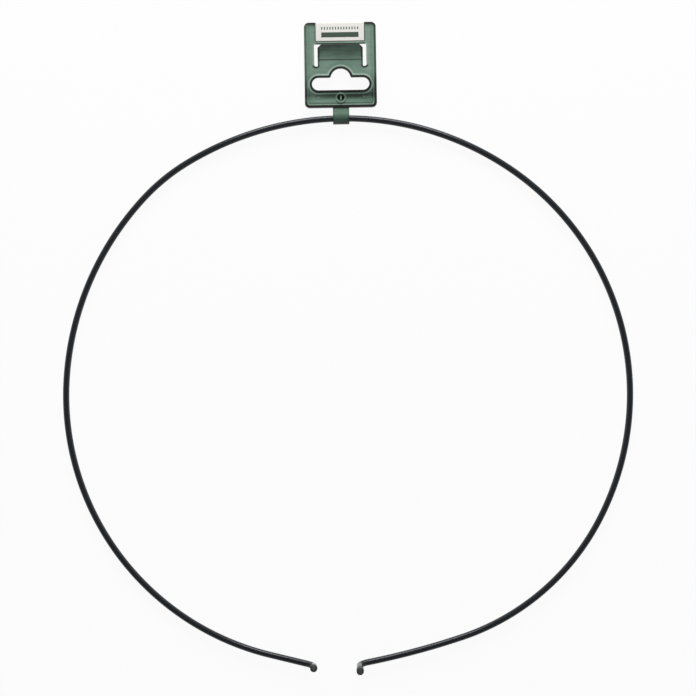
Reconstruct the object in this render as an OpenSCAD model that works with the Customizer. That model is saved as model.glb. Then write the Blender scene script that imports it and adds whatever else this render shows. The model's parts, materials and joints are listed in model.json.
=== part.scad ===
// Plant support ring: an open ring of plastic coated wire whose two ends turn up into pegs,
// with a moulded hanging tag that swings on the wire.
// The ring lies flat with +Z along the pegs, and the origin is the ring's centre at mid wire.

/* [Ring] */
// Outside width of the wire ring
ring_d = 330; // [220:5:450]
// Diameter of the wire over its plastic coat
wire_d = 3.7; // [3:0.1:5]
// Diameter of the steel core
core_d = 2.5; // [1.6:0.1:2.6]

/* [Pegs] */
// Height of the peg tips above the middle of the wire
peg_h = 22; // [18:1:60]
// Radius of the bend from ring to peg, at mid wire
bend_r = 5; // [4:0.5:8]
// Angle of the bend at the left end
left_bend = 90; // [70:1:90]
// Angle of the bend at the right end
right_bend = 90; // [70:1:90]
// Lean of the left peg towards the inside of the ring
left_lean = 5; // [-8:0.25:8]
// Lean of the right peg towards the inside of the ring
right_lean = -2.25; // [-8:0.25:8]
// Straight wire before the bend at the left end
left_tail = 20.5; // [5:0.5:40]
// Diameter of the caps on the peg tips
cap_d = 4.2; // [3.6:0.1:6]
// Length of the caps
cap_l = 7; // [5:0.5:10]
// Radius of the round edge of the caps' tips
cap_tip_r = 1.3; // [0.5:0.1:1.8]

/* [Tag] */
// Width of the tag
tag_w = 41.6; // [38:0.2:60]
// Height of the tag, without its strap
tag_l = 50; // [48:1:70]
// Corner radius of the tag
tag_corner_r = 2.8; // [2:0.1:5]
// Thickness of the tag's face and strap
web_t = 1.2; // [1:0.1:1.6]
// Width of the rim round the tag
rim_w = 1.5; // [1:0.1:2]
// Height of the rim over the face, front and back
rim_rise = 0.7; // [0.5:0.1:1]
// Distance from mid wire to the tag's lower edge
tag_base = 5.8; // [5.6:0.1:9]
// Angle from the ring's top to the tag
tag_turn = 0.9; // [-10:0.1:10]

/* [Hanging slot] */
// Width of the hanging slot
slot_w = 33.2; // [28:0.2:34]
// Height of the hanging slot's straight part
slot_h = 7.5; // [6:0.1:7.8]
// Distance from the tag's lower edge to the slot
slot_base = 10.1; // [9.8:0.1:10.3]
// Radius of the hump over the middle of the slot
hump_r = 5.8; // [5:0.1:6]
// Distance from the slot's upper edge down to the hump's centre
hump_drop = 0.5; // [0:0.1:1]
// Radius of the shoulders where the hump meets the slot
shoulder_r = 1; // [0.4:0.1:1.2]
// Width of the raised lip round the slot
lip_w = 1.1; // [0.8:0.1:1.4]
// Height of the lip over the face
lip_rise = 0.5; // [0.3:0.1:0.8]

/* [Tongue] */
// Width of the tongue
tongue_w = 26.2; // [20:0.2:30]
// Length of the tongue from its hinge
tongue_l = 12; // [10:0.1:12.2]
// Thickness of the raised pad on the tongue's front
pad_rise = 0.6; // [0.3:0.1:0.8]
// Length of the thin root below the pad
root_l = 3.2; // [2:0.1:5]
// Cut off the tongue's upper corners
tongue_chamfer = 2; // [1:0.1:3]
// Width of the slits beside the tongue
slit_w = 2; // [1.5:0.1:3]
// Distance from the tag's lower edge to the slits
slit_base = 24.2; // [24.1:0.1:25]

/* [Label] */
// Width of the paper label
label_w = 28; // [20:0.5:34]
// Height of the label on each face
label_l = 10.8; // [8:0.1:11]
// Thickness of the label
label_t = 0.2; // [0.1:0.05:0.3]

/* [Strap] */
// Width of the strap round the wire
strap_w = 9.4; // [8:0.2:14]
// Room between the wire and the strap
loop_gap = 0.4; // [0.3:0.1:0.8]
// Distance from the tag's lower edge to the lock hole
lock_base = 5.5; // [5.3:0.1:5.8]
// Diameter of the lock hole
lock_d = 3.8; // [3.4:0.1:4.2]
// Diameter of the boss round the lock hole
boss_d = 5.9; // [5.4:0.1:6.4]
// Height of the boss over the face
boss_rise = 0.7; // [0.4:0.1:1]
// Width of the blade that locks in the hole
blade_w = 1; // [0.8:0.1:1.4]
// Length of the blade along the strap
blade_l = 2.4; // [1.8:0.1:2.6]

/* [Hidden] */
$fn = 64;
// Room between moulded pieces that move past each other
play = 0.3;
// Room at the strap's living hinge
hinge_gap = 0.1;
// Room between a pad and the face that it closes on
seat_gap = 0.2;
// How far cuts run past the faces that they open
overrun = 1;
// How much thinner every other stretch of wire is, and how far it laps into the next
joint_step = 0.02;
joint_lap = 0.2;
// Turned radius of each stretch of wire, from the ring's top to its ends, in ring radii
left_radius_shares = [1.085, 0.71, 1.035, 0.9475];
right_radius_shares = [1.04, 0.965, 0.855, 2.76];
// Angle that each of these stretches turns through
left_sweeps = [31.5, 15.5, 40.5, 79];
right_sweeps = [35, 83, 43.5, 7.15];

ring_r = (ring_d - wire_d) / 2;
cap_r = cap_d / 2;
// Thickness of a cap past the end of the core
cap_tip_t = cap_r;
// Radius of the stretch that carries the tag
tag_ring_r = left_radius_shares[0] * ring_r;
// Inside and outside of the strap's loop, round the wire
loop_r = wire_d / 2 + loop_gap;
strap_r = loop_r + web_t;
// The tag's levels, up from mid wire
web_back = loop_r;
web_front = web_back + web_t;
rim_t = web_t + 2 * rim_rise;
// The tag's places, out from mid wire
tag_top = tag_base + tag_l;
lock_y = tag_base + lock_base;
slot_y = tag_base + slot_base + slot_h / 2;
slot_top = slot_y + slot_h / 2;
hump_y = slot_top - hump_drop;
hinge_y = tag_base + slit_base + web_t / 2 + play;
window_w = tongue_w + 2 * slit_w;
window_top = hinge_y + tongue_l + play;
// The tag droops until its top lies level with the underside of the strap
rest_y = tag_top;
rest_z = web_back - rim_rise;
tag_droop = asin(strap_r / norm([rest_y, rest_z])) + atan2(rest_z, rest_y);
// The strap's back leg rises past the rim to the back of the lock hole
pass_y = tag_base + rim_w;
pass_z = web_back - rim_rise - play;
leg_rise = atan2(pass_z, pass_y) + asin(loop_r / norm([pass_y, pass_z]));
clasp_front = web_back - seat_gap;
clasp_back = clasp_front - web_t;
clasp_end = lock_y + boss_d / 2;

// Stretches of wire from the ring's top to where each peg bends up: [radius, angle] of a turn,
// or [0, length] of a straight
function turns(shares, sweeps) = [for (i = [0 : len(shares) - 1]) [shares[i] * ring_r, sweeps[i]]];
left_ring = concat(turns(left_radius_shares, left_sweeps), [[0, left_tail]]);
right_ring = turns(right_radius_shares, right_sweeps);

// The bend and the peg, whose length gives the tip its height, stopping short of the tip
function peg_l(bend, lean) = (peg_h / cos(lean) - bend_r * (1 - cos(bend))) / sin(bend);
function peg(bend, lean, short) = [[bend_r, bend], [0, peg_l(bend, lean) - short]];

// Cross-section of the wire, solid where the inner diameter is zero
module wire_section(outer, inner) {
    difference() {
        circle(d = outer);
        if (inner > 0) circle(d = inner);
    }
}

// One stretch that starts along +X and turns left, and runs past both its ends by the lap
module stretch(radius, run, outer, inner, lap) {
    if (radius > 0) {
        lap_angle = asin(lap / radius);
        translate([0, radius, 0])
            rotate([0, 0, -90 - lap_angle])
                rotate_extrude(angle = run + 2 * lap_angle)
                    translate([radius, 0]) wire_section(outer, inner);
    } else {
        translate([-lap, 0, 0])
            rotate([0, 90, 0]) linear_extrude(run + 2 * lap) wire_section(outer, inner);
    }
}

// Carries its children to the end of such a stretch
module past(radius, run) {
    if (radius > 0)
        translate([0, radius, 0])
            rotate([0, 0, run])
                translate([0, -radius, 0]) children();
    else
        translate([run, 0, 0]) children();
}

// Carries its children to the end of a list of stretches
module past_all(stretches, i = 0) {
    if (i < len(stretches))
        past(stretches[i][0], stretches[i][1]) past_all(stretches, i + 1) children();
    else
        children();
}

// A list of stretches, with its children at the end. Every other stretch is a hair thinner
// and laps into its neighbours, so that they join as one solid
module wire(stretches, thin, outer, inner, i = 0) {
    if (i < len(stretches)) {
        stretch(stretches[i][0], stretches[i][1], outer - (thin ? joint_step : 0),
                inner > 0 && thin ? inner + joint_step : inner, thin ? joint_lap : 0);
        past(stretches[i][0], stretches[i][1])
            wire(stretches, !thin, outer, inner, i + 1) children();
    } else {
        children();
    }
}

// The left half runs anticlockwise from the ring's top, and the right half clockwise
module left_side() {
    translate([0, ring_r, 0]) rotate([0, 0, 180]) children();
}

module right_side() {
    translate([0, ring_r, 0]) mirror([0, 1, 0]) children();
}

// Turns its children up out of the ring, to where a peg bends
module turned_up(lean) {
    rotate([90 - lean, 0, 0]) children();
}

module whole_wire(short, outer, inner) {
    left_side()
        wire(left_ring, false, outer, inner)
            turned_up(left_lean) wire(peg(left_bend, left_lean, short), true, outer, inner);
    right_side()
        wire(right_ring, true, outer, inner)
            turned_up(right_lean) wire(peg(right_bend, right_lean, short), true, outer, inner);
}

// Half the outline of a cap, from its axis out, with a round edge at its tip
module cap_half() {
    intersection() {
        square([cap_r, cap_l]);
        union() {
            square([cap_r, cap_l - cap_tip_r]);
            square([cap_r - cap_tip_r, cap_l]);
            translate([cap_r - cap_tip_r, cap_l - cap_tip_r]) circle(cap_tip_r);
        }
    }
}

// Cap pushed over the bare end of the core
module end_cap(bend, lean) {
    turned_up(lean)
        past_all(peg(bend, lean, cap_l))
            rotate([0, 90, 0])
                difference() {
                    rotate_extrude() cap_half();
                    translate([0, 0, -overrun]) cylinder(h = cap_l - cap_tip_t + overrun, d = core_d);
                }
}

// Carries its children to the tag: +X along the wire, +Y out of the ring, drooped to the floor
module at_tag() {
    translate([0, ring_r - tag_ring_r, 0])
        rotate([0, 0, tag_turn])
            translate([0, tag_ring_r, 0])
                rotate([-tag_droop, 0, 0]) children();
}

module rounded_plate(width, low, high, radius) {
    for (side = [-1, 1])
        for (y = [low + radius, high - radius])
            translate([side * (width / 2 - radius), y]) circle(radius);
    translate([-width / 2, low + radius]) square([width, high - low - 2 * radius]);
    translate([radius - width / 2, low]) square([width - 2 * radius, high - low]);
}

module tag_outline(inset) {
    rounded_plate(tag_w - 2 * inset, tag_base + inset, tag_top - inset, tag_corner_r - inset);
}

// The hanging slot: a long round-ended hole with a hump over its middle
module slot_outline(grow) {
    end_r = slot_h / 2 + grow;
    for (side = [-1, 1])
        translate([side * (slot_w - slot_h) / 2, slot_y]) circle(end_r);
    translate([-(slot_w - slot_h) / 2, slot_y - end_r]) square([slot_w - slot_h, 2 * end_r]);
    translate([0, hump_y]) circle(hump_r + grow);
}

// What rounds the two corners between the hump and the slot's straight upper edge
module slot_shoulders() {
    rise = asin((shoulder_r + hump_drop) / (hump_r + shoulder_r));
    reach = (hump_r + shoulder_r) * cos(rise);
    for (side = [0, 1])
        mirror([side, 0])
            difference() {
                translate([0, hump_y]) square([reach, hump_r * sin(rise)]);
                translate([reach, slot_top + shoulder_r]) circle(shoulder_r);
            }
}

// The window that holds the tongue and the slits beside it
module tongue_window() {
    low = tag_base + slit_base;
    slit_r = slit_w / 2;
    for (side = [-1, 1])
        translate([side * (tongue_w + slit_w) / 2, low + slit_r]) circle(slit_r);
    translate([-window_w / 2, low + slit_r]) square([window_w, window_top - low - slit_r]);
    translate([-tongue_w / 2 - slit_r, low]) square([tongue_w + slit_w, slit_r]);
}

// Where the label folds over the top edge
module label_notch() {
    translate([-label_w / 2 - play, tag_top - label_t])
        square([label_w + 2 * play, label_t + overrun]);
}

module label_field() {
    translate([-label_w / 2 - play, tag_top - label_l])
        square([label_w + 2 * play, label_l + overrun]);
}

// The part of the strap that the tag carries: its front leg and the first quarter of the loop
module strap_front() {
    translate([-strap_w / 2, 0, web_back]) cube([strap_w, tag_base + rim_w, web_t]);
    rotate([90, 0, 90])
        rotate([0, 0, 90])
            rotate_extrude(angle = 90)
                translate([loop_r, -strap_w / 2]) square([web_t, strap_w]);
}

module hang_tag() {
    color("darkslategray")
        at_tag() {
            difference() {
                union() {
                    translate([0, 0, web_back]) linear_extrude(web_t) tag_outline(0);
                    translate([0, 0, web_back - rim_rise])
                        linear_extrude(rim_t)
                            difference() {
                                tag_outline(0);
                                tag_outline(rim_w);
                                label_field();
                            }
                    translate([0, 0, web_back])
                        linear_extrude(web_t + lip_rise) slot_outline(lip_w);
                    translate([0, lock_y, web_back]) cylinder(h = web_t + boss_rise, d = boss_d);
                }
                translate([0, 0, web_back - rim_rise - overrun])
                    linear_extrude(rim_t + 2 * overrun) {
                        slot_outline(0);
                        slot_shoulders();
                        tongue_window();
                        label_notch();
                    }
                translate([0, lock_y, web_back - overrun])
                    cylinder(h = rim_t + 2 * overrun, d = lock_d);
            }
            strap_front();
        }
}

// The springy tongue, hinged at its round lower edge, with a thicker pad on its front
module label_tongue() {
    color("darkslategray")
        at_tag()
            translate([0, hinge_y, web_back]) {
                translate([-tongue_w / 2, 0, web_t / 2])
                    rotate([0, 90, 0]) cylinder(h = tongue_w, d = web_t);
                linear_extrude(web_t) tongue_outline(0);
                linear_extrude(web_t + pad_rise) tongue_outline(root_l);
            }
}

// Outline of the tongue from a given height up to its cut corners
module tongue_outline(low) {
    half = tongue_w / 2;
    polygon([[-half, low], [half, low], [half, tongue_l - tongue_chamfer],
             [half - tongue_chamfer, tongue_l], [tongue_chamfer - half, tongue_l],
             [-half, tongue_l - tongue_chamfer]]);
}

// The rest of the strap: round under the wire, up behind the tag, and its blade in the lock hole
module strap_clasp() {
    gap_angle = asin(hinge_gap / loop_r);
    lap_rise = leg_rise - asin(joint_lap / strap_r);
    low_y = (clasp_back * cos(leg_rise) + strap_r) / sin(leg_rise);
    high_y = (clasp_front * cos(leg_rise) + loop_r) / sin(leg_rise);
    color("darkslategray")
        at_tag()
            rotate([90, 0, 90]) {
                rotate([0, 0, 180 + gap_angle])
                    rotate_extrude(angle = 90 + leg_rise - gap_angle)
                        translate([loop_r, -strap_w / 2]) square([web_t, strap_w]);
                translate([0, 0, -strap_w / 2])
                    linear_extrude(strap_w)
                        polygon([strap_r * [sin(lap_rise), -cos(lap_rise)],
                                 strap_r * [sin(leg_rise), -cos(leg_rise)],
                                 [low_y, clasp_back], [clasp_end, clasp_back],
                                 [clasp_end, clasp_front], [high_y, clasp_front],
                                 loop_r * [sin(leg_rise), -cos(leg_rise)],
                                 loop_r * [sin(lap_rise), -cos(lap_rise)]]);
                translate([lock_y - blade_l / 2, clasp_back, -blade_w / 2])
                    cube([blade_l, web_front + boss_rise - clasp_back, blade_w]);
            }
}

// Paper label folded over the tag's top edge and stuck to both faces
module label() {
    color("snow")
        at_tag()
            translate([-label_w / 2, tag_top - label_l, web_back - label_t])
                difference() {
                    cube([label_w, label_l, web_t + 2 * label_t]);
                    translate([-overrun, -overrun, label_t])
                        cube([label_w + 2 * overrun, label_l + overrun - label_t, web_t]);
                }
}

module wire_core() {
    color("silver") whole_wire(cap_tip_t, core_d, 0);
}

module wire_coating() {
    color("black") whole_wire(cap_l, wire_d, core_d);
}

module end_cap_left() {
    color("dimgray") left_side() past_all(left_ring) end_cap(left_bend, left_lean);
}

module end_cap_right() {
    color("dimgray") right_side() past_all(right_ring) end_cap(right_bend, right_lean);
}

wire_core();
wire_coating();
end_cap_left();
end_cap_right();
hang_tag();
label_tongue();
strap_clasp();
label();
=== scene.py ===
# Plant support ring: an open ring of plastic-coated wire whose ends turn up into two pegs, with a
# moulded hanging tag that swings on the wire. Lengths are metres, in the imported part's frame, and sizes
# and places on the tag are mm, in the tag's own frame.
import json
import math

import bmesh
import bpy
from mathutils import Matrix, Vector


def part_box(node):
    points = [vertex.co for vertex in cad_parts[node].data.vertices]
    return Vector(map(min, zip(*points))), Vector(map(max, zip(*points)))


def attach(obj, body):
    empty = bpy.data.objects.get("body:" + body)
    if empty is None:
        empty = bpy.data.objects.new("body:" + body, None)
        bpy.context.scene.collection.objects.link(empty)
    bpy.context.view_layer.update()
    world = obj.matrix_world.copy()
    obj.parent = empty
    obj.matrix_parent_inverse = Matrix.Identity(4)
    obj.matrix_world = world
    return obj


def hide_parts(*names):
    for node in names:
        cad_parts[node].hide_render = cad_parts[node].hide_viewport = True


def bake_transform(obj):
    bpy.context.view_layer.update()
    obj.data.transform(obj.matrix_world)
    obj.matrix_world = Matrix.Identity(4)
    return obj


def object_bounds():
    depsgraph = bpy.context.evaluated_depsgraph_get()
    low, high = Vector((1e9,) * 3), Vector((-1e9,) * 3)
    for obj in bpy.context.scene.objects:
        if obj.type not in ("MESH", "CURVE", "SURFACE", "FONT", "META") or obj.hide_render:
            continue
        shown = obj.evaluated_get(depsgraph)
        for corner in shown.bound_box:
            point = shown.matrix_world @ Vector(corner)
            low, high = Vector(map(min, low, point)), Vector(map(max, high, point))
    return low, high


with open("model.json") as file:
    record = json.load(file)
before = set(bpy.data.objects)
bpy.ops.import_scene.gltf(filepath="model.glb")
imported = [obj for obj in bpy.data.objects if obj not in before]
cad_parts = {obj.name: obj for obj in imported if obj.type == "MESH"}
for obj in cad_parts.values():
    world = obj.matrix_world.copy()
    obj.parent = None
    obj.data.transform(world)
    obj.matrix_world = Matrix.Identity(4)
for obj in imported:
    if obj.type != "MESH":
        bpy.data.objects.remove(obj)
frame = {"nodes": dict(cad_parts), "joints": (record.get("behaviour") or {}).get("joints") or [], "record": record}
cad_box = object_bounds()

# Steel core
# One length of hard steel wire, drawn through a die and cut square, inside the plastic coat.
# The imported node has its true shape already, so it only gets the finish of drawn wire.
mm = 0.001


def linear(code):
    """Linear colour with full alpha from an sRGB hex code."""
    shares = [int(code[i:i + 2], 16) / 255 for i in (1, 3, 5)]
    return [s / 12.92 if s <= 0.04045 else ((s + 0.055) / 1.055) ** 2.4 for s in shares] + [1.0]


def add_node(tree, kind, links=None, **settings):
    """Adds a node with its settings. Links are sockets to join or values to set, by input."""
    node = tree.nodes.new(kind)
    for setting, value in settings.items():
        setattr(node, setting, value)
    for socket, source in (links or {}).items():
        if isinstance(source, bpy.types.NodeSocket):
            tree.links.new(source, node.inputs[socket])
        else:
            node.inputs[socket].default_value = source
    return node


def new_material(name):
    """An empty material and its node tree."""
    material = bpy.data.materials.new(name)
    material.use_nodes = True
    material.node_tree.nodes.clear()
    return material, material.node_tree


def drawn_steel():
    """Drawn steel wire: bright grey, with a satin sheen broken up by fine die marks."""
    mark_size = 0.4 * mm
    material, tree = new_material("drawn_steel")
    place = add_node(tree, "ShaderNodeTexCoord").outputs["Object"]
    marks = add_node(tree, "ShaderNodeTexNoise", {"Vector": place, "Scale": 1 / mark_size, "Detail": 4.0})
    tint = add_node(tree, "ShaderNodeMix", {
        "Factor": marks.outputs["Fac"], 6: linear("#7f8284"), 7: linear("#a9abac")}, data_type="RGBA")
    satin = add_node(tree, "ShaderNodeMapRange", {
        "Value": marks.outputs["Fac"], "To Min": 0.28, "To Max": 0.42})
    shader = add_node(tree, "ShaderNodeBsdfPrincipled", {
        "Base Color": tint.outputs[2], "Metallic": 1.0, "Roughness": satin.outputs["Result"]})
    add_node(tree, "ShaderNodeOutputMaterial", {"Surface": shader.outputs[0]})
    return material


core = frame["nodes"]["wire_core"]
core.data.materials.clear()
core.data.materials.append(drawn_steel())

# Plastic coat
# Black PVC extruded over the steel before it is bent, so it has faint lines along its length.
# It follows the ring's own stretches, and puckers inside the tight bends up to the pegs.
coat_d = 3.7 * mm
core_d = 2.5 * mm
bend_r = 5 * mm
left_tail = 20.5 * mm
ring_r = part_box("wire_coating")[1].y - coat_d / 2
# Each stretch from the ring's top: its radius in ring radii, and the angle that it turns through
left_turns = [(1.085, 31.5), (0.71, 15.5), (1.035, 40.5), (0.9475, 79)]
right_turns = [(1.04, 35), (0.965, 83), (0.855, 43.5), (2.76, 7.15)]
ring_step = 2.5 * mm
bend_step = 0.11 * mm
coat_sides = 28
pucker_pitch = 0.9 * mm
pucker_depth = 0.09 * mm


def named(rows, name):
    """The row that has a name."""
    return next(row for row in rows if row["name"] == name)


def ahead(heading):
    """Level direction of a heading, which is an angle from +X."""
    return Vector((math.cos(heading), math.sin(heading), 0))


def left_of(heading):
    """Level direction to the left of a heading."""
    return Vector((-math.sin(heading), math.cos(heading), 0))


def half_wire(side, turns, tail, peg_name):
    """Mid wire from the ring's top to the coat's end, as (place, pull towards a tight bend's centre).
    Also gives the frame of the cap there, with +Z towards the tip. The left side is -1."""
    peg = named(frame["record"]["mounts"], peg_name)
    rising = Vector(peg["axis"])
    end = Vector(peg["pos_m"]) - rising * peg["dims"]["length_mm"] * mm / 2
    none = Vector((0, 0, 0))
    place = Vector((0, ring_r, 0))
    heading = 0 if side > 0 else math.pi
    line = [(place, none)]
    for share, sweep in turns:
        radius = share * ring_r
        middle = place - side * radius * left_of(heading)
        turn = -side * math.radians(sweep)
        steps = math.ceil(radius * abs(turn) / ring_step)
        line += [(middle + side * radius * left_of(heading + turn * i / steps), none)
                 for i in range(1, steps + 1)]
        heading += turn
        place = line[-1][0]
    if tail:
        steps = math.ceil(tail / ring_step)
        line += [(place + tail * i / steps * ahead(heading), none) for i in range(1, steps + 1)]
        place = line[-1][0]
    quarter = math.pi / 2
    steps = math.ceil(bend_r * quarter / bend_step)
    for i in range(1, steps + 1):
        angle = quarter * i / steps
        rise = math.sin(angle) * ahead(heading) - math.cos(angle) * rising
        line.append((place + bend_r * (rising + rise), -rise * math.sin(math.pi * i / steps)))
    place = line[-1][0]
    line += [((place + end) / 2, none), (end, none)]
    cap_side = rising.cross(ahead(heading)).normalized()
    cap_frame = Matrix((cap_side.cross(rising), cap_side, rising)).transposed().to_4x4()
    cap_frame.translation = end
    return line, cap_frame


left_line, left_cap_frame = half_wire(-1, left_turns, left_tail, "left_peg")
right_line, right_cap_frame = half_wire(1, right_turns, 0, "right_peg")


def link_piece(name, mesh):
    """A new object at the origin, whose place is in its mesh."""
    piece = bpy.data.objects.new(name, mesh)
    bpy.context.scene.collection.objects.link(piece)
    return piece


def settle(piece, sharp=40):
    """Turns what a piece's modifiers make into its own smooth mesh, with edges over that angle sharp.
    Where the angle is None, the mesh keeps the normals that its modifiers give it."""
    graph = bpy.context.evaluated_depsgraph_get()
    made = bpy.data.meshes.new_from_object(piece.evaluated_get(graph))
    piece.modifiers.clear()
    piece.data = made
    made.name = piece.name
    made.polygons.foreach_set("use_smooth", [True] * len(made.polygons))
    if sharp is not None:
        made.set_sharp_from_angle(angle=math.radians(sharp))
    return piece


def black_pvc():
    """Extruded black PVC: near black with a cool cast, glossy, drawn out in faint lines along the wire."""
    line_width = 0.35 * mm
    line_run = 60 * mm
    smear_size = 14 * mm
    material, tree = new_material("extruded_black_pvc")
    laid = add_node(tree, "ShaderNodeAttribute", attribute_name="laid_straight").outputs["Vector"]
    drawn = add_node(tree, "ShaderNodeMapping", {
        "Vector": laid, "Scale": (1 / line_width, 1 / line_width, 1 / line_run)}, vector_type="POINT")
    lines = add_node(tree, "ShaderNodeTexNoise", {"Vector": drawn.outputs[0], "Scale": 1.0, "Detail": 2.0})
    smears = add_node(tree, "ShaderNodeTexNoise", {"Vector": laid, "Scale": 1 / smear_size, "Detail": 3.0})
    tint = add_node(tree, "ShaderNodeMix", {
        "Factor": lines.outputs["Fac"], 6: linear("#212529"), 7: linear("#2d3136")}, data_type="RGBA")
    gloss = add_node(tree, "ShaderNodeMapRange", {
        "Value": smears.outputs["Fac"], "To Min": 0.1, "To Max": 0.22})
    relief = add_node(tree, "ShaderNodeBump", {
        "Height": lines.outputs["Fac"], "Strength": 0.35, "Distance": 0.03 * mm})
    shader = add_node(tree, "ShaderNodeBsdfPrincipled", {
        "Base Color": tint.outputs[2], "Roughness": gloss.outputs["Result"], "IOR": 1.53,
        "Specular IOR Level": 0.3, "Normal": relief.outputs[0]})
    add_node(tree, "ShaderNodeOutputMaterial", {"Surface": shader.outputs[0]})
    return material


def coat_tree(inputs):
    """Sweeps a round coat along a line, with puckers where the line is pulled into a tight bend.
    Gives the tree and the identifier of each named input."""
    tree = bpy.data.node_groups.new("Coat along wire", "GeometryNodeTree")
    tree.interface.new_socket("Geometry", in_out="INPUT", socket_type="NodeSocketGeometry")
    tree.interface.new_socket("Geometry", in_out="OUTPUT", socket_type="NodeSocketGeometry")
    keys = {name: tree.interface.new_socket(name, in_out="INPUT", socket_type=kind).identifier
            for name, kind in inputs.items()}
    given = add_node(tree, "NodeGroupInput").outputs
    path = add_node(tree, "GeometryNodeMeshToCurve", {"Mesh": given["Geometry"]})
    round_section = add_node(tree, "GeometryNodeCurvePrimitiveCircle", {
        "Resolution": given["Sides"], "Radius": given["Coat radius"]})
    spot = add_node(tree, "GeometryNodeInputPosition").outputs[0]
    section = add_node(tree, "GeometryNodeStoreNamedAttribute", {
        "Geometry": round_section.outputs["Curve"], "Name": "section", "Value": spot},
        data_type="FLOAT_VECTOR", domain="POINT")
    tube = add_node(tree, "GeometryNodeCurveToMesh", {
        "Curve": path.outputs["Curve"], "Profile Curve": section.outputs["Geometry"]})
    read = {name: add_node(tree, "GeometryNodeInputNamedAttribute", {"Name": name}, data_type=kind).outputs[0]
            for name, kind in (("section", "FLOAT_VECTOR"), ("along", "FLOAT"), ("pull", "FLOAT_VECTOR"))}
    across = add_node(tree, "ShaderNodeSeparateXYZ", {0: read["section"]}).outputs
    straight = add_node(tree, "ShaderNodeCombineXYZ", {0: across[0], 1: across[1], 2: read["along"]})
    laid = add_node(tree, "GeometryNodeStoreNamedAttribute", {
        "Geometry": tube.outputs["Mesh"], "Name": "laid_straight", "Value": straight.outputs[0]},
        data_type="FLOAT_VECTOR", domain="POINT")
    outward = add_node(tree, "GeometryNodeInputNormal").outputs[0]
    inside = add_node(tree, "ShaderNodeVectorMath", {0: outward, 1: read["pull"]}, operation="DOT_PRODUCT")
    pinch = add_node(tree, "ShaderNodeMath", {0: inside.outputs["Value"], 1: 0.0}, operation="MAXIMUM")
    phase = add_node(tree, "ShaderNodeMath", {0: read["along"], 1: given["Pucker pitch"]}, operation="DIVIDE")
    turns = add_node(tree, "ShaderNodeMath", {0: phase.outputs[0], 1: math.tau}, operation="MULTIPLY")
    wave = add_node(tree, "ShaderNodeMath", {0: turns.outputs[0]}, operation="SINE")
    height = add_node(tree, "ShaderNodeMath", {0: wave.outputs[0], 1: pinch.outputs[0]}, operation="MULTIPLY")
    deep = add_node(tree, "ShaderNodeMath", {
        0: height.outputs[0], 1: given["Pucker depth"]}, operation="MULTIPLY")
    offset = add_node(tree, "ShaderNodeVectorMath", {0: outward, "Scale": deep.outputs[0]}, operation="SCALE")
    puckered = add_node(tree, "GeometryNodeSetPosition", {
        "Geometry": laid.outputs["Geometry"], "Offset": offset.outputs[0]})
    whole = add_node(tree, "GeometryNodeRealizeInstances", {"Geometry": puckered.outputs["Geometry"]})
    dressed = add_node(tree, "GeometryNodeSetMaterial", {
        "Geometry": whole.outputs["Geometry"], "Material": given["Finish"]})
    add_node(tree, "NodeGroupOutput", {"Geometry": dressed.outputs["Geometry"]})
    return tree, keys


wire_line = left_line[:0:-1] + right_line
line_mesh = bpy.data.meshes.new("coat")
line_edges = [(i, i + 1) for i in range(len(wire_line) - 1)]
line_mesh.from_pydata([place for place, pull in wire_line], line_edges, [])
runs = [0.0]
for (here, _), (there, _) in zip(wire_line, wire_line[1:]):
    runs.append(runs[-1] + (there - here).length)
line_mesh.attributes.new("along", "FLOAT", "POINT").data.foreach_set("value", runs)
line_mesh.attributes.new("pull", "FLOAT_VECTOR", "POINT").data.foreach_set(
    "vector", [share for place, pull in wire_line for share in pull])
coat = link_piece("coat", line_mesh)
sweep, coat_keys = coat_tree({
    "Coat radius": "NodeSocketFloat", "Sides": "NodeSocketInt", "Pucker pitch": "NodeSocketFloat",
    "Pucker depth": "NodeSocketFloat", "Finish": "NodeSocketMaterial"})
sweep_coat = coat.modifiers.new("Coat along wire", "NODES")
sweep_coat.node_group = sweep
coat_sizes = {"Coat radius": coat_d / 2, "Sides": coat_sides, "Pucker pitch": pucker_pitch,
              "Pucker depth": pucker_depth, "Finish": black_pvc()}
for name, size in coat_sizes.items():
    sweep_coat[coat_keys[name]] = size
coat_wall = coat.modifiers.new("Coat wall", "SOLIDIFY")
coat_wall.thickness = (coat_d - core_d) / 2
coat_wall.offset = -1
settle(coat)
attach(coat, "ring")
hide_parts("wire_coating")

# End caps
# Two small caps of soft black PVC, dip moulded with a round tip, pushed over the bare ends of the core
# up to the coat. Their rims and tips are softly rounded.
cap_r = 2.1 * mm
cap_l = 7 * mm
cap_lip_r = 0.35 * mm
bore_lip_r = cap_lip_r / 2
cap_tip_r = 1.3 * mm
cap_sides = 40
bore_lip_steps = 3
cap_lip_steps = 5
cap_tip_steps = 12
cap_bore_l = cap_l - cap_r
grey_r = 1.5 * mm
grey_fade = 0.5 * mm
# Points closer together than this are one point
weld = 0.05 * mm


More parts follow.
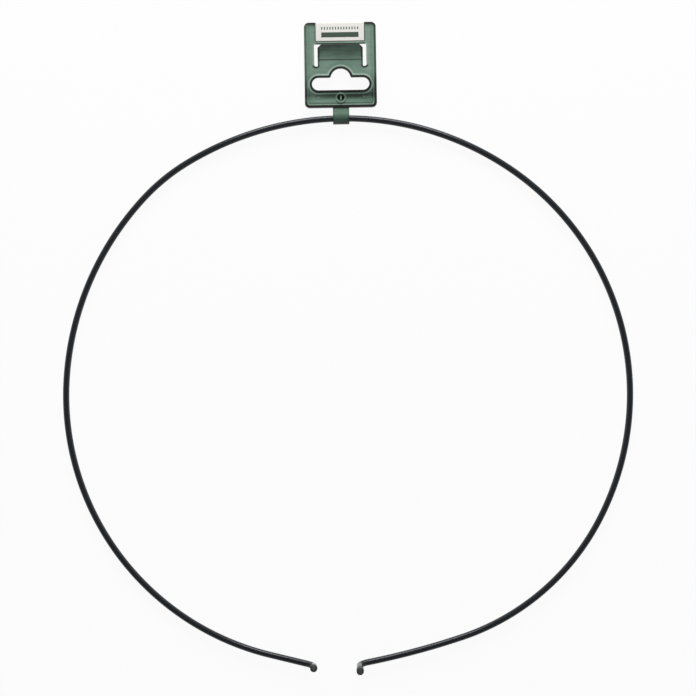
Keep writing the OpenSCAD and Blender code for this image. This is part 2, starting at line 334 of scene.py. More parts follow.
def soft_black_pvc():
    """Dip-moulded soft PVC: black and a little dull, with faint mottling, and paler grey in the middle of its tip.
    """
    mottle_size = 0.9 * mm
    material, tree = new_material("dip_moulded_black_pvc")
    place = add_node(tree, "ShaderNodeTexCoord").outputs["Object"]
    mottle = add_node(tree, "ShaderNodeTexNoise", {"Vector": place, "Scale": 1 / mottle_size, "Detail": 3.0})
    skin = add_node(tree, "ShaderNodeMix", {
        "Factor": mottle.outputs["Fac"], 6: linear("#141716"), 7: linear("#212524")}, data_type="RGBA")
    tip_grey = add_node(tree, "ShaderNodeAttribute", attribute_name="tip_grey").outputs["Fac"]
    tint = add_node(tree, "ShaderNodeMix", {
        "Factor": tip_grey, 6: skin.outputs[2], 7: linear("#50564f")}, data_type="RGBA")
    dull = add_node(tree, "ShaderNodeMapRange", {
        "Value": mottle.outputs["Fac"], "To Min": 0.4, "To Max": 0.55})
    relief = add_node(tree, "ShaderNodeBump", {
        "Height": mottle.outputs["Fac"], "Strength": 0.2, "Distance": 0.04 * mm})
    shader = add_node(tree, "ShaderNodeBsdfPrincipled", {
        "Base Color": tint.outputs[2], "Roughness": dull.outputs["Result"], "IOR": 1.53,
        "Specular IOR Level": 0.3, "Normal": relief.outputs[0]})
    add_node(tree, "ShaderNodeOutputMaterial", {"Surface": shader.outputs[0]})
    return material


def arc(middle, radius, start, stop, steps):
    """Points on an arc in a plane, from one angle to another in degrees."""
    angles = [math.radians(start + (stop - start) * i / steps) for i in range(steps + 1)]
    return [(middle[0] + radius * math.cos(a), middle[1] + radius * math.sin(a)) for a in angles]


def piece_from(name, shape):
    """A new object from a finished shape, which is freed."""
    mesh = bpy.data.meshes.new(name)
    shape.to_mesh(mesh)
    shape.free()
    return link_piece(name, mesh)


def turned_rings(shape, profile, sides, place):
    """Rings of points in a shape, one for each (radius, height) of a profile, round +Z of a place."""
    angles = [math.tau * i / sides for i in range(sides)]
    rings = []
    for radius, height in profile:
        spots = [Vector((radius * math.cos(a), radius * math.sin(a), height)) for a in angles]
        rings.append([shape.verts.new(place @ spot) for spot in spots])
    return rings


def lathe(name, profile, sides, place):
    """Turns a profile of (radius, height) round +Z. Its ends lie on the axis."""
    turned = bmesh.new()
    rings = turned_rings(turned, profile[1:-1], sides, place)
    first, last = [turned.verts.new(place @ Vector((0, 0, profile[i][1]))) for i in (0, -1)]
    for i in range(sides):
        j = (i + 1) % sides
        turned.faces.new((first, rings[0][j], rings[0][i]))
        turned.faces.new((last, rings[-1][i], rings[-1][j]))
        for low, high in zip(rings, rings[1:]):
            turned.faces.new((low[i], low[j], high[j], high[i]))
    bmesh.ops.recalc_face_normals(turned, faces=turned.faces)
    return piece_from(name, turned)


def grey_on_tip(cap, place):
    """Stores how grey each point of a cap is: fully in the middle of its tip, and not at its edge."""
    spots = [place.inverted() @ v.co for v in cap.data.vertices]
    shares = [min(max((grey_r - math.hypot(s.x, s.y)) / grey_fade, 0), 1) * (s.z > cap_bore_l + weld)
              for s in spots]
    cap.data.attributes.new("tip_grey", "FLOAT", "POINT").data.foreach_set("value", shares)


cap_profile = [(0, cap_bore_l), (core_d / 2, cap_bore_l)]
cap_profile += arc((core_d / 2 + bore_lip_r, bore_lip_r), bore_lip_r, 180, 270, bore_lip_steps)
cap_profile += arc((cap_r - cap_lip_r, cap_lip_r), cap_lip_r, 270, 360, cap_lip_steps)
cap_profile += arc((cap_r - cap_tip_r, cap_l - cap_tip_r), cap_tip_r, 0, 90, cap_tip_steps)
cap_profile.append((0, cap_l))
cap_finish = soft_black_pvc()
for node, cap_frame in (("end_cap_left", left_cap_frame), ("end_cap_right", right_cap_frame)):
    cap = lathe(node.replace("end_", "soft_"), cap_profile, cap_sides, cap_frame)
    cap.data.materials.append(cap_finish)
    settle(cap)
    grey_on_tip(cap, cap_frame)
    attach(cap, "ring")
    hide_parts(node)

# Hanging tag
# One moulding of dark green polypropylene with a rim round it, a hanging slot with a raised lip, a boss
# with a lock hole and a strap. The thin face lets light through, so the thick places look darker. Painted
# shade and painted highlights are laid over its colour too.
mould_r = 0.22
mould_steps = 3
tag_w = 41.6
tag_base = 5.8
tag_top = 55.8
tag_corner_r = 2.8
face_front = 3.45
face_back = 2.25
slot_w = 33.2
slot_h = 7.5
slot_y = 19.65
hump_r = 5.8
hump_y = 22.9
lip_w = 1.1
lock_y = 11.3
window_w = 30.2
window_low = 30.0
window_high = 43.2
slit_w = 2.0
paper_t = 0.2
label_w = 28.0
label_low = 45.0
# Edges that turn more than the sharp angle get the mould radius, or the tight share of it, and those that
# turn less than the level angle are dropped. A face over the broad area, in square mm, is shaded flat.
tight_share = 0.4
zone_slack = 0.06
sharp_angle = math.radians(32)
level_angle = math.radians(1)
broad_area = 5
flat_weight = 90

# The tag's own frame: +X along the wire, +Y up the tag and +Z out of its front
swing = named(frame["joints"], "tag_swing")
tag_right = Vector(swing["axis"])
tag_front = Vector(named(frame["record"]["mounts"], "hang_slot")["axis"])
tag_frame = Matrix((tag_right, tag_front.cross(tag_right), tag_front)).transposed().to_4x4()
tag_frame.translation = Vector(swing["pos_m"])


def place_on_tag(piece, depth_of=None):
    """Stores where each point of a piece lies on the tag, in mm. A function of a face's corners may also
    give how much darker that face is than the plastic round it."""
    to_tag = tag_frame.inverted()
    mesh = piece.data
    spots = [(to_tag @ v.co) / mm for v in mesh.vertices]
    mesh.attributes.new("tag_mm", "FLOAT_VECTOR", "POINT").data.foreach_set(
        "vector", [share for spot in spots for share in spot])
    if depth_of:
        depths = []
        for face in mesh.polygons:
            depths += [depth_of([spots[i] for i in face.vertices])] * face.loop_total
        mesh.attributes.new("depth", "FLOAT", "CORNER").data.foreach_set("value", depths)


def slot_distance(spot):
    """Distance out from the hanging slot's edge, in mm."""
    end = math.hypot(max(abs(spot.x) - (slot_w - slot_h) / 2, 0), spot.y - slot_y) - slot_h / 2
    return min(end, math.hypot(spot.x, spot.y - hump_y) - hump_r)


def window_distance(spot):
    """Distance in mm from the edge of the window round the tongue, which has round lower corners."""
    corner_x = abs(spot.x) - (window_w - slit_w) / 2
    corner_y = window_low + slit_w / 2 - spot.y
    if corner_x > 0 and corner_y > 0:
        return abs(math.hypot(corner_x, corner_y) - slit_w / 2)
    x = abs(spot.x) - window_w / 2
    y = abs(spot.y - (window_low + window_high) / 2) - (window_high - window_low) / 2
    return abs(max(x, y))


def rounding_share(ends):
    """Share of the mould radius that an edge between two points of the tag has. It is square under the
    label's fold, and tighter round the tongue's window and the slot's lip, which come close together."""
    if all(e.y > tag_top - 2 * paper_t and abs(e.x) < label_w / 2 + mould_r * 2 for e in ends):
        return 0.0
    if all(window_distance(e) < zone_slack or abs(slot_distance(e) - lip_w) < zone_slack for e in ends):
        return tight_share
    return 1.0


def moulded_copy(node, name):
    """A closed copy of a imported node, with the rounded edges that a mould leaves between flat faces. Its
    broad faces keep their own normals, so that no shade runs into them from a rounded edge."""
    to_tag = tag_frame.inverted()
    skin = bmesh.new()
    skin.from_mesh(frame["nodes"][node].data)
    bmesh.ops.remove_doubles(skin, verts=skin.verts, dist=weld)
    bmesh.ops.dissolve_limit(skin, angle_limit=level_angle, verts=skin.verts, edges=skin.edges)
    share = skin.edges.layers.float.new("bevel_weight_edge")
    for edge in skin.edges:
        if edge.calc_face_angle(0) > sharp_angle:
            edge[share] = rounding_share([(to_tag @ v.co) / mm for v in edge.verts])
    piece = piece_from(name, skin)
    piece.data.polygons.foreach_set("use_smooth", [True] * len(piece.data.polygons))
    rounding = piece.modifiers.new("Mould radius", "BEVEL")
    rounding.width = mould_r * mm
    rounding.segments = mould_steps
    rounding.limit_method = "WEIGHT"
    rounding.use_clamp_overlap = False
    rounding.loop_slide = False
    flattening = piece.modifiers.new("Flat faces", "WEIGHTED_NORMAL")
    flattening.mode = "FACE_AREA"
    flattening.weight = flat_weight
    settle(piece, sharp=None)
    normals = [corner.vector.copy() for corner in piece.data.corner_normals]
    for face in piece.data.polygons:
        if face.area > broad_area * mm ** 2:
            for i in face.loop_indices:
                normals[i] = face.normal
    piece.data.normals_split_custom_set(normals)
    return piece


def green_polypropylene():
    """Moulded polypropylene: grey green where it is thin, near black green where it is thick, with painted
    shade and painted highlights over that along its rim, slot, slits, label and strap, streaks where the melt
    flowed and a fine eroded mould grain, drawn coarser than it is."""
    streak_run = 13
    streak_width = 1.1
    cloud_size = 7
    grain_size = 0.45
    # Shade up the middle and the sides of the tag, as (height in mm, share). Besides thickness it holds painted
    # shade below the slot, on the strap's bend and at the window's top, and painted light where the tongue's
    # step and the top rim would shade the face
    middle_shades = [(-4, 1.0), (-2.9, 1.0), (-2.3, 0.78), (-0.7, 0.78), (0.8, 0.72), (2.0, 0.42),
                     (5.8, 0.44), (8.2, 0.42), (9.2, 0.34), (10.2, 0.42), (11.2, 0.74), (12.0, 0.9),
                     (13.2, 0.97), (15.5, 0.85), (23.4, 0.2), (26.5, 0.28), (29.6, 0.39), (33.6, 0.42),
                     (33.9, 0.1), (34.2, 0.1), (34.5, 0.6), (36.0, 0.72), (38.0, 0.81), (40.0, 0.9),
                     (43.0, 0.96), (43.15, 1.2), (43.6, 1.2), (43.85, 0), (44.4, 0), (45.0, 0.4), (56, 0.36)]
    side_shades = [(5, 0.46), (9.5, 0.42), (11.0, 0.6), (12.5, 0.8), (13.5, 0.85), (15.5, 0.72), (17, 0.6),
                   (21, 0.42), (26, 0.28), (52.9, 0.3), (53.5, -0.05), (54.3, -0.25), (54.6, 0.3), (56, 0.3)]
    # How that shade changes, as (mm out from the tag's outline, the slot, a slit or the label, change). The
    # edges are darker, with painted highlight lines inside the rim and outside the lip, painted shade at the
    # rim's foot and a painted shadow round the label
    rim_dark_and_painted_highlight = [(-3.3, 0), (-2.7, 0.22), (-2.1, 0.22), (-1.8, -0.3), (-1.5, -0.3), (-1.25, 0.8),
                   (-0.9, 0.95), (0, 0.95), (0.2, 0)]
    lip_dark_and_painted_highlight = [(0, 1.05), (1.05, 1.05), (1.4, -0.42), (2.0, -0.42), (2.5, 0.08), (4.5, 0)]
    slit_zone = [(0, 1), (0.8, 1), (1.4, 0)]
    label_painted_shadow = [(0, 0.5), (0.45, 0.5), (0.75, 0)]
    # The same for mm from the middle of the lock hole and from the middle of the strap
    boss_changes = [(2.0, 0), (2.5, -0.2), (3.0, -0.34), (3.3, 0)]
    strap_changes = [(3.9, 0), (4.4, 0.18), (4.7, 0.18)]
    # Share of the rim's change over the height, and at the left and right
    rim_shares = [(7.5, 1.15), (9.5, 0.5), (52.5, 0.5), (54.0, 1.05)]
    rim_sides = (0.85, 1.3)
    # Change beside a slit from the tongue's side of it, darker, to the tag's, a painted highlight line, and the
    # painted shade at its round lower end
    slit_dark_and_painted_highlight = [(13.2, 0.36), (15.0, -0.18)]
    slit_end = [(30.2, 1), (31.0, 0)]
    slit_end_painted_shade = 0.8
    # Change towards the right over the height, which is reversed on the left; below the slot it deepens the
    # painted shade on the right
    middle_tilts = [(8, 0), (10, 0.08), (14, 0.08), (20, 0.05), (27, 0), (34, 0.02), (56, 0.02)]
    side_tilts = [(8, 0), (10, 0.08), (14, 0.08), (20, 0.05), (27, -0.04), (56, -0.04)]
    tilt_half = 12
    # The middle's shades end at the first of these distances from the middle line, and the sides' shades
    # start at the second
    middle_half = 13.2
    side_from = 15.0
    # How far streaks and clouds change the shade, for the range of their sum
    unevenness = 0.1
    flow_range = (0.6, 1.4)
    ramp_lift = 1.0
    # The plastic's colours from its palest to its darkest shade, which stand for thickness and for painted light
    # and shade, as (share, colour)
    shade_tints = [(-0.25, "#b2cabb"), (0, "#8ea596"), (0.5, "#5e7c6b"), (1, "#0a2217"), (1.3, "#020604")]
    material, tree = new_material("moulded_green_polypropylene")
    place = add_node(tree, "ShaderNodeAttribute", attribute_name="tag_mm").outputs["Vector"]
    # Per face: painted shadow on the clasp's pad and painted light on its blade, and paler ejector marks
    depth = add_node(tree, "ShaderNodeAttribute", attribute_name="depth").outputs["Fac"]
    across, height, _ = add_node(tree, "ShaderNodeSeparateXYZ", {0: place}).outputs
    off_middle = add_node(tree, "ShaderNodeMath", {0: across}, operation="ABSOLUTE").outputs[0]
    half_face = add_node(tree, "ShaderNodeCombineXYZ", {0: off_middle, 1: height}).outputs[0]

    def along(distance, stops):
        """Share or change of shade along a distance. The lift keeps the ramp's colours above zero."""
        low, high = stops[0][0], stops[-1][0]
        level = add_node(tree, "ShaderNodeMapRange", {"Value": distance, "From Min": low, "From Max": high})
        ramp = add_node(tree, "ShaderNodeValToRGB", {"Fac": level.outputs["Result"]})
        marks = ramp.color_ramp.elements
        for spot, share in stops[1:-1]:
            marks.new((spot - low) / (high - low)).color = [share + ramp_lift] * 3 + [1]
        for mark, (_, share) in zip((marks[0], marks[-1]), (stops[0], stops[-1])):
            mark.color = [share + ramp_lift] * 3 + [1]
        return add_node(tree, "ShaderNodeMath", {
            0: ramp.outputs["Color"], 1: ramp_lift}, operation="SUBTRACT").outputs[0]

    def outside(middle, width, length, corner_r):
        """Distance in mm out from a rectangle with round corners on the tag. It is negative inside."""
        straight = (width / 2 - corner_r, length / 2 - corner_r, 0)
        offset = add_node(tree, "ShaderNodeVectorMath", {0: half_face, 1: (*middle, 0)}, operation="SUBTRACT")
        reach = add_node(tree, "ShaderNodeVectorMath", {0: offset.outputs[0]}, operation="ABSOLUTE")
        past = add_node(tree, "ShaderNodeVectorMath", {
            0: reach.outputs[0], 1: straight}, operation="SUBTRACT")
        outer = add_node(tree, "ShaderNodeVectorMath", {
            0: past.outputs[0], 1: (0, 0, 0)}, operation="MAXIMUM")
        gap = add_node(tree, "ShaderNodeVectorMath", {0: outer.outputs[0]}, operation="LENGTH")
        past_x, past_y, _ = add_node(tree, "ShaderNodeSeparateXYZ", {0: past.outputs[0]}).outputs
        nearer = add_node(tree, "ShaderNodeMath", {0: past_x, 1: past_y}, operation="MAXIMUM")
        inner = add_node(tree, "ShaderNodeMath", {0: nearer.outputs[0], 1: 0.0}, operation="MINIMUM")
        both = add_node(tree, "ShaderNodeMath", {
            0: gap.outputs["Value"], 1: inner.outputs[0]}, operation="ADD")
        return add_node(tree, "ShaderNodeMath", {
            0: both.outputs[0], 1: corner_r}, operation="SUBTRACT").outputs[0]

    outline = outside((0, (tag_base + tag_top) / 2), tag_w, tag_top - tag_base, tag_corner_r)
    slot_ends = outside((0, slot_y), slot_w, slot_h, slot_h / 2)
    hump_middle = add_node(tree, "ShaderNodeVectorMath", {
        0: half_face, 1: (0, hump_y, 0)}, operation="DISTANCE")
    hump = add_node(tree, "ShaderNodeMath", {
        0: hump_middle.outputs["Value"], 1: hump_r}, operation="SUBTRACT")
    slot = add_node(tree, "ShaderNodeMath", {0: slot_ends, 1: hump.outputs[0]}, operation="MINIMUM")
    lock = add_node(tree, "ShaderNodeVectorMath", {0: half_face, 1: (0, lock_y, 0)}, operation="DISTANCE")
    slit = outside(((window_w - slit_w) / 2, (window_low + window_high) / 2),
                   slit_w, window_high - window_low, slit_w / 2)
    label_edge = outside((0, tag_top), label_w, 2 * (tag_top - label_low), 0)
    below = add_node(tree, "ShaderNodeMath", {0: height, 1: tag_base}, operation="LESS_THAN")
    strap_edge = add_node(tree, "ShaderNodeMath", {
        0: along(off_middle, strap_changes), 1: below.outputs[0]}, operation="MULTIPLY")
    rim_side = add_node(tree, "ShaderNodeMapRange", {
        "Value": across, "From Min": -tag_w / 2, "From Max": tag_w / 2,
        "To Min": rim_sides[0], "To Max": rim_sides[1]})
    rim_share = add_node(tree, "ShaderNodeMath", {
        0: along(height, rim_shares), 1: rim_side.outputs["Result"]}, operation="MULTIPLY")
    rim = add_node(tree, "ShaderNodeMath", {
        0: along(outline, rim_dark_and_painted_highlight), 1: rim_share.outputs[0]}, operation="MULTIPLY")
    slit_side = add_node(tree, "ShaderNodeMix", {
        "Factor": along(height, slit_end), 2: along(off_middle, slit_dark_and_painted_highlight), 3: slit_end_painted_shade},
        data_type="FLOAT")
    slit_rim = add_node(tree, "ShaderNodeMath", {
        0: along(slit, slit_zone), 1: slit_side.outputs[0]}, operation="MULTIPLY")
    to_right = add_node(tree, "ShaderNodeMapRange", {
        "Value": across, "From Min": -tilt_half, "From Max": tilt_half, "To Min": -1, "To Max": 1})
    outer = add_node(tree, "ShaderNodeMapRange", {
        "Value": off_middle, "From Min": middle_half, "From Max": side_from}, interpolation_type="SMOOTHSTEP")
    slope = add_node(tree, "ShaderNodeMix", {
        "Factor": outer.outputs["Result"], 2: along(height, middle_tilts), 3: along(height, side_tilts)},
        data_type="FLOAT")
    tilt = add_node(tree, "ShaderNodeMath", {
        0: to_right.outputs["Result"], 1: slope.outputs[0]}, operation="MULTIPLY")
    broad = add_node(tree, "ShaderNodeMix", {
        "Factor": outer.outputs["Result"], 2: along(height, middle_shades), 3: along(height, side_shades)},
        data_type="FLOAT")
    drawn = add_node(tree, "ShaderNodeMapping", {
        "Vector": place, "Scale": (1 / streak_run, 1 / streak_width, 1 / streak_width)}, vector_type="POINT")
    streaks = add_node(tree, "ShaderNodeTexNoise", {"Vector": drawn.outputs[0], "Scale": 1.0, "Detail": 3.0})
    clouds = add_node(tree, "ShaderNodeTexNoise", {"Vector": place, "Scale": 1 / cloud_size, "Detail": 4.0})
    grain = add_node(tree, "ShaderNodeTexNoise", {"Vector": place, "Scale": 1 / grain_size, "Detail": 2.0})
    flow = add_node(tree, "ShaderNodeMath", {
        0: streaks.outputs["Fac"], 1: clouds.outputs["Fac"]}, operation="ADD")
    uneven = add_node(tree, "ShaderNodeMapRange", {
        "Value": flow.outputs[0], "From Min": flow_range[0], "From Max": flow_range[1],
        "To Min": -unevenness, "To Max": unevenness})
    shade = broad.outputs[0]
    for change in (rim.outputs[0], along(slot.outputs[0], lip_dark_and_painted_highlight), slit_rim.outputs[0],
                   along(label_edge, label_painted_shadow), along(lock.outputs["Value"], boss_changes),
                   strap_edge.outputs[0], tilt.outputs[0], depth, uneven.outputs["Result"]):
        shade = add_node(tree, "ShaderNodeMath", {0: shade, 1: change}, operation="ADD").outputs[0]
    palest, darkest = shade_tints[0][0], shade_tints[-1][0]
    shade_level = add_node(tree, "ShaderNodeMapRange", {
        "Value": shade, "From Min": palest, "From Max": darkest})
    tint = add_node(tree, "ShaderNodeValToRGB", {"Fac": shade_level.outputs["Result"]})
    tints = tint.color_ramp.elements
    for share, colour in shade_tints[1:-1]:
        tints.new((share - palest) / (darkest - palest)).color = linear(colour)
    tints[0].color = linear(shade_tints[0][1])
    tints[-1].color = linear(shade_tints[-1][1])
    satin = add_node(tree, "ShaderNodeMapRange", {
        "Value": grain.outputs["Fac"], "To Min": 0.34, "To Max": 0.5})
    relief = add_node(tree, "ShaderNodeBump", {
        "Height": grain.outputs["Fac"], "Strength": 0.25, "Distance": 0.03 * mm})
    shader = add_node(tree, "ShaderNodeBsdfPrincipled", {
        "Base Color": tint.outputs["Color"], "Roughness": satin.outputs["Result"], "IOR": 1.49,
        "Normal": relief.outputs[0]})
    add_node(tree, "ShaderNodeOutputMaterial", {"Surface": shader.outputs[0]})
    return material


def dress_moulding(piece, body, node):
    """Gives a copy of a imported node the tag's plastic, and puts it in that node's place."""
    piece.data.materials.clear()
    piece.data.materials.append(tag_finish)
    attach(piece, body)
    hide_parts(node)


tag_finish = green_polypropylene()
tag = moulded_copy("hang_tag", "tag_moulding")
place_on_tag(tag)
dress_moulding(tag, "tag", "hang_tag")

# Ejector marks
# Two low round marks on the tag's face, beside the boss, where the mould's pins pushed the tag out.
# They are part of the moulding, a little proud of it and a little paler.
mark_r = 0.9 * mm
mark_rise = 0.1 * mm
mark_root = 0.2 * mm
mark_sides = 24
mark_edge_steps = 4
mark_paler = 0.16
# Where each mark is, as (mm to the right of the tag's middle line, mm up the tag)
mark_places = {"left": (-13.0, 11.4), "right": (13.2, 11.7)}


def mark_depth(corners):
    """A mark is paler all over."""
    return -mark_paler


mark_profile = [(0, -mark_root), (mark_r, -mark_root)]
mark_profile += arc((mark_r - mark_rise, 0), mark_rise, 0, 90, mark_edge_steps)
mark_profile.append((0, mark_rise))
for side, (x, y) in mark_places.items():
    mark_frame = tag_frame @ Matrix.Translation(Vector((x, y, face_front)) * mm)
    mark = lathe("ejector_mark_" + side, mark_profile, mark_sides, mark_frame)
    settle(mark)
    place_on_tag(mark, mark_depth)
    mark.data.materials.append(tag_finish)
    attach(mark, "tag")

# Label tongue
# A springy flap of the same moulding between two slits, with a thicker pad on its front. It bends at its
# root, where a living hinge joins it to the tag: a short strip across that root.
tongue_w = 26.2
hinge_low = 29.6
hinge_high = 31.4
hinge_steps = 12
hinge_inset = 0.02

tongue = moulded_copy("label_tongue", "tongue_flap")
place_on_tag(tongue)
dress_moulding(tongue, "tongue", "label_tongue")


def living_hinge(name):
    """A flat strip across the tongue's root, in short steps. Its ends are inside the
    tag and the tongue, and its faces lie just under theirs."""
    strip = bmesh.new()
    rows = []
    for i in range(hinge_steps + 1):
        y = hinge_low + (hinge_high - hinge_low) * i / hinge_steps
        corners = [(side * (tongue_w / 2 - hinge_inset), y, z) for side, z in (
            (-1, face_back + hinge_inset), (1, face_back + hinge_inset),
            (1, face_front - hinge_inset), (-1, face_front - hinge_inset))]
        rows.append([strip.verts.new(tag_frame @ (Vector(corner) * mm)) for corner in corners])
    for near, far in zip(rows, rows[1:]):
        for i in range(len(near)):
            j = (i + 1) % len(near)
            strip.faces.new((near[i], near[j], far[j], far[i]))
    strip.faces.new(rows[0])
    strip.faces.new(rows[-1])
    bmesh.ops.recalc_face_normals(strip, faces=strip.faces)
    return settle(piece_from(name, strip))


hinge = living_hinge("tongue_hinge")
place_on_tag(hinge)
hinge.data.materials.append(tag_finish)
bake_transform(hinge)

# Strap clasp
# The free end of the tag's strap: it goes round under the wire and up behind the tag, where its blade
# snaps into the lock hole. It is the same moulding, bent at a living hinge.
# The clasp's pad, seen through the lock hole, gets a painted shadow, and its blade painted light
pad_painted_shadow = 0.4
blade_painted_light = 0.4


def clasp_painted_shade(corners):
    """Painted shadow on the pad seen through the lock hole, and painted light on the blade."""
    if min(c.y for c in corners) < tag_base:
        return 0.0
    return -blade_painted_light if max(c.z for c in corners) > face_front else pad_painted_shadow


clasp = moulded_copy("strap_clasp", "clasp_strap")
place_on_tag(clasp, clasp_painted_shade)
dress_moulding(clasp, "clasp", "strap_clasp")

# Paper label
# A strip of coated white paper folded over the tag's top edge and stuck to both faces. It carries a
# plain printed band and a row of ticks.
label_fold_r = 0.35
fold_steps = 6


def coated_paper():
    """Coated paper: warm white with a faint fibre mottle and a low sheen, printed in flat dark green."""
    fibre_size = 0.5
    band_low = 2.0
    band_high = 5.0
    tick_low = 6.6
    tick_high = 8.2
    tick_pitch = 1.6
    tick_share = 0.4
    margin = 3.2
    material, tree = new_material("coated_white_paper")
    place = add_node(tree, "ShaderNodeAttribute", attribute_name="print_mm").outputs["Vector"]
    across, height, _ = add_node(tree, "ShaderNodeSeparateXYZ", {0: place}).outputs
    fibre = add_node(tree, "ShaderNodeTexNoise", {"Vector": place, "Scale": 1 / fibre_size, "Detail": 4.0})
    paper = add_node(tree, "ShaderNodeMix", {
        "Factor": fibre.outputs["Fac"], 6: linear("#e4e0da"), 7: linear("#ebe8e4")}, data_type="RGBA")

    def between(value, low, high):
        """One where a value lies between two limits, and zero elsewhere."""
        above = add_node(tree, "ShaderNodeMath", {0: value, 1: low}, operation="GREATER_THAN").outputs[0]
        below = add_node(tree, "ShaderNodeMath", {0: value, 1: high}, operation="LESS_THAN").outputs[0]
        return add_node(tree, "ShaderNodeMath", {0: above, 1: below}, operation="MULTIPLY").outputs[0]

    band = between(height, band_low, band_high)
    repeat = add_node(tree, "ShaderNodeMath", {0: across, 1: tick_pitch}, operation="DIVIDE")
    part = add_node(tree, "ShaderNodeMath", {0: repeat.outputs[0]}, operation="FRACT")
    tick = add_node(tree, "ShaderNodeMath", {0: part.outputs[0], 1: tick_share}, operation="LESS_THAN")
    row = between(height, tick_low, tick_high)
    inner = between(across, margin, label_w - margin)
    ticks = add_node(tree, "ShaderNodeMath", {0: tick.outputs[0], 1: row}, operation="MULTIPLY").outputs[0]
    marks = add_node(tree, "ShaderNodeMath", {0: band, 1: ticks}, operation="MAXIMUM").outputs[0]
    ink = add_node(tree, "ShaderNodeMath", {0: marks, 1: inner}, operation="MULTIPLY")
    tint = add_node(tree, "ShaderNodeMix", {
        "Factor": ink.outputs[0], 6: paper.outputs[2], 7: linear("#33463a")}, data_type="RGBA")
    relief = add_node(tree, "ShaderNodeBump", {
        "Height": fibre.outputs["Fac"], "Strength": 0.15, "Distance": 0.02 * mm})
    shader = add_node(tree, "ShaderNodeBsdfPrincipled", {
        "Base Color": tint.outputs[2], "Roughness": 0.55, "IOR": 1.45, "Normal": relief.outputs[0]})
    add_node(tree, "ShaderNodeOutputMaterial", {"Surface": shader.outputs[0]})
    return material


def folded_strip(name):
    """The label as one folded sheet of even thickness, with its printed place stored in mm."""
    bend_y = tag_top - label_fold_r - paper_t

    def side_line(front, back, radius):
        """One side of the paper, from the label's front end over the fold to its back end."""
        line = [(label_low, front)]
        line += arc((bend_y, front - radius), radius, 90, 0, fold_steps)
        line += arc((bend_y, back + radius), radius, 0, -90, fold_steps)
        return line + [(label_low, back)]

    outer = side_line(face_front + paper_t, face_back - paper_t, label_fold_r + paper_t)
    inner = side_line(face_front, face_back, label_fold_r)
    runs = [0.0]
    for (y0, z0), (y1, z1) in zip(outer, outer[1:]):
        runs.append(runs[-1] + math.hypot(y1 - y0, z1 - z0))
    strip = bmesh.new()
    printed = strip.verts.layers.float_vector.new("print_mm")
    rows = []
    for line in (outer, inner):
        for side in (-1, 1):
            row = []
            for (y, z), run in zip(line, runs):
                vert = strip.verts.new(tag_frame @ (Vector((side * label_w / 2, y, z)) * mm))
                vert[printed] = Vector((label_w / 2 + side * label_w / 2, run, 0))
                row.append(vert)
            rows.append(row)
    outer_left, outer_right, inner_left, inner_right = rows
    for i in range(len(outer) - 1):
        j = i + 1
        strip.faces.new((outer_left[i], outer_right[i], outer_right[j], outer_left[j]))
        strip.faces.new((inner_right[i], inner_left[i], inner_left[j], inner_right[j]))
        strip.faces.new((outer_right[i], inner_right[i], inner_right[j], outer_right[j]))
        strip.faces.new((inner_left[i], outer_left[i], outer_left[j], inner_left[j]))
    for i in (0, -1):
        strip.faces.new((outer_left[i], inner_left[i], inner_right[i], outer_right[i]))
    bmesh.ops.recalc_face_normals(strip, faces=strip.faces)
    return settle(piece_from(name, strip))


label = folded_strip("label_strip")
label.data.materials.append(coated_paper())
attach(label, "tag")
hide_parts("label")

# Floor
# A white studio sweep under the object, level with the tag's top edge, that turns up far away.
floor_r = 2.5
floor_rise = 0.75
floor_turn_r = 0.5
floor_turn_steps = 12
floor_sides = 64


def studio_white():
    """Matt white sweep: part of what is seen of it is its own light, so the object's shadow stays faint."""
    own_light = 0.94
    material, tree = new_material("studio_white")
    ray = add_node(tree, "ShaderNodeLightPath").outputs
    seen = add_node(tree, "ShaderNodeMath", {
        0: ray["Is Camera Ray"], 1: ray["Is Glossy Ray"]}, operation="MAXIMUM")
    shown = add_node(tree, "ShaderNodeMath", {
        0: seen.outputs[0], 1: ray["Is Transmission Ray"]}, operation="MAXIMUM")
    share = add_node(tree, "ShaderNodeMath", {0: shown.outputs[0], 1: own_light}, operation="MULTIPLY")
    matt = add_node(tree, "ShaderNodeBsdfDiffuse", {"Color": linear("#f8f8f8")})
    light = add_node(tree, "ShaderNodeEmission", {"Color": linear("#ffffff"), "Strength": 1.0})
    both = add_node(tree, "ShaderNodeMixShader", {
        0: share.outputs[0], 1: matt.outputs[0], 2: light.outputs[0]})
    add_node(tree, "ShaderNodeOutputMaterial", {"Surface": both.outputs[0]})
    return material


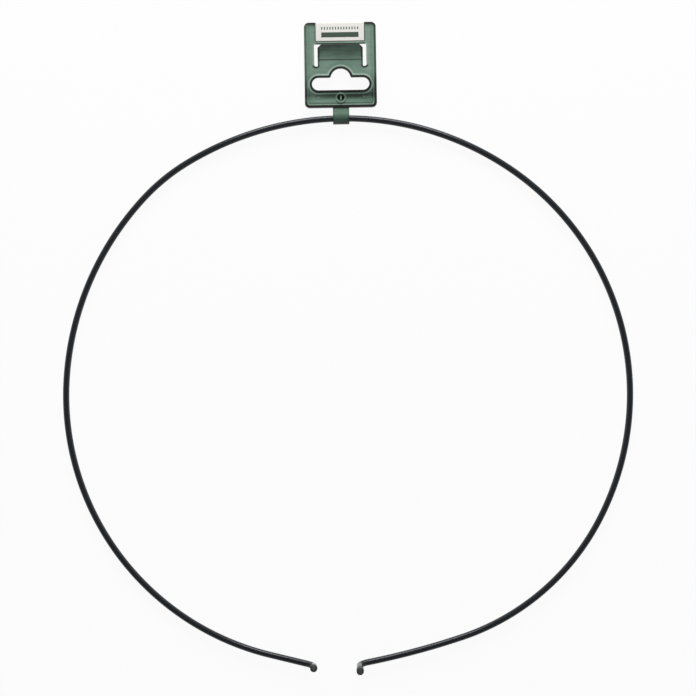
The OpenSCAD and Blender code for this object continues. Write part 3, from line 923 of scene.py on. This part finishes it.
floor_frame = Matrix.Translation((0, 0, cad_box[0][2]))
floor_profile = arc((floor_r - floor_turn_r, floor_turn_r), floor_turn_r, 270, 360, floor_turn_steps)
floor_profile.append((floor_r, floor_rise))
studio = bmesh.new()
floor_rings = turned_rings(studio, floor_profile, floor_sides, floor_frame)
studio.faces.new(floor_rings[0])
for low, high in zip(floor_rings, floor_rings[1:]):
    for i in range(floor_sides):
        j = (i + 1) % floor_sides
        studio.faces.new((low[i], low[j], high[j], high[i]))
floor = piece_from("floor", studio)
floor.data.materials.append(studio_white())

# Light
# One low soft box beyond the tag, and a soft sky that is dark overhead as a studio's ceiling is.
sky_low = 0.5
sky_overhead = 0.1
# The sky keeps its low strength up to the first of these heights, as shares of straight up, and has its
# overhead strength from the second
sky_rises = (0.3, 0.95)
key_place = Vector((0, 1.02, 0.55))
key_target = Vector((0, 0.1, 0))
key_size = (0.8, 0.5)
key_power = 11.7

world = bpy.data.worlds.new("Soft sky")
world.use_nodes = True
sky = world.node_tree
toward = add_node(sky, "ShaderNodeTexCoord").outputs["Generated"]
rise = add_node(sky, "ShaderNodeSeparateXYZ", {0: toward}).outputs["Z"]
strength = add_node(sky, "ShaderNodeMapRange", {
    "Value": rise, "From Min": sky_rises[0], "From Max": sky_rises[1],
    "To Min": sky_low, "To Max": sky_overhead})
sky.links.new(strength.outputs["Result"], sky.nodes["Background"].inputs["Strength"])
sky.nodes["Background"].inputs["Color"].default_value = linear("#ffffff")
bpy.context.scene.world = world

lamp = bpy.data.lights.new("Key soft box", "AREA")
lamp.shape = "RECTANGLE"
lamp.size, lamp.size_y = key_size
lamp.energy = key_power
soft_box = bpy.data.objects.new("Key soft box", lamp)
soft_box.location = key_place
soft_box.rotation_euler = (key_target - key_place).to_track_quat("-Z", "Y").to_euler()
bpy.context.scene.collection.objects.link(soft_box)

# Camera
# Straight down on the ring, with the image's centre a little above the ring's middle.
view_width = 403 * mm
view_height = 1.06
view_middle = (1.16 * mm, 30.22 * mm)
lens = bpy.data.cameras.new("Camera")
lens.lens_unit = "FOV"
lens.angle = 2 * math.atan(view_width / 2 / view_height)
camera = bpy.data.objects.new("Camera", lens)
camera.location = (*view_middle, view_height)
bpy.context.scene.collection.objects.link(camera)
bpy.context.scene.camera = camera
bpy.context.scene.view_settings.view_transform = "Standard"
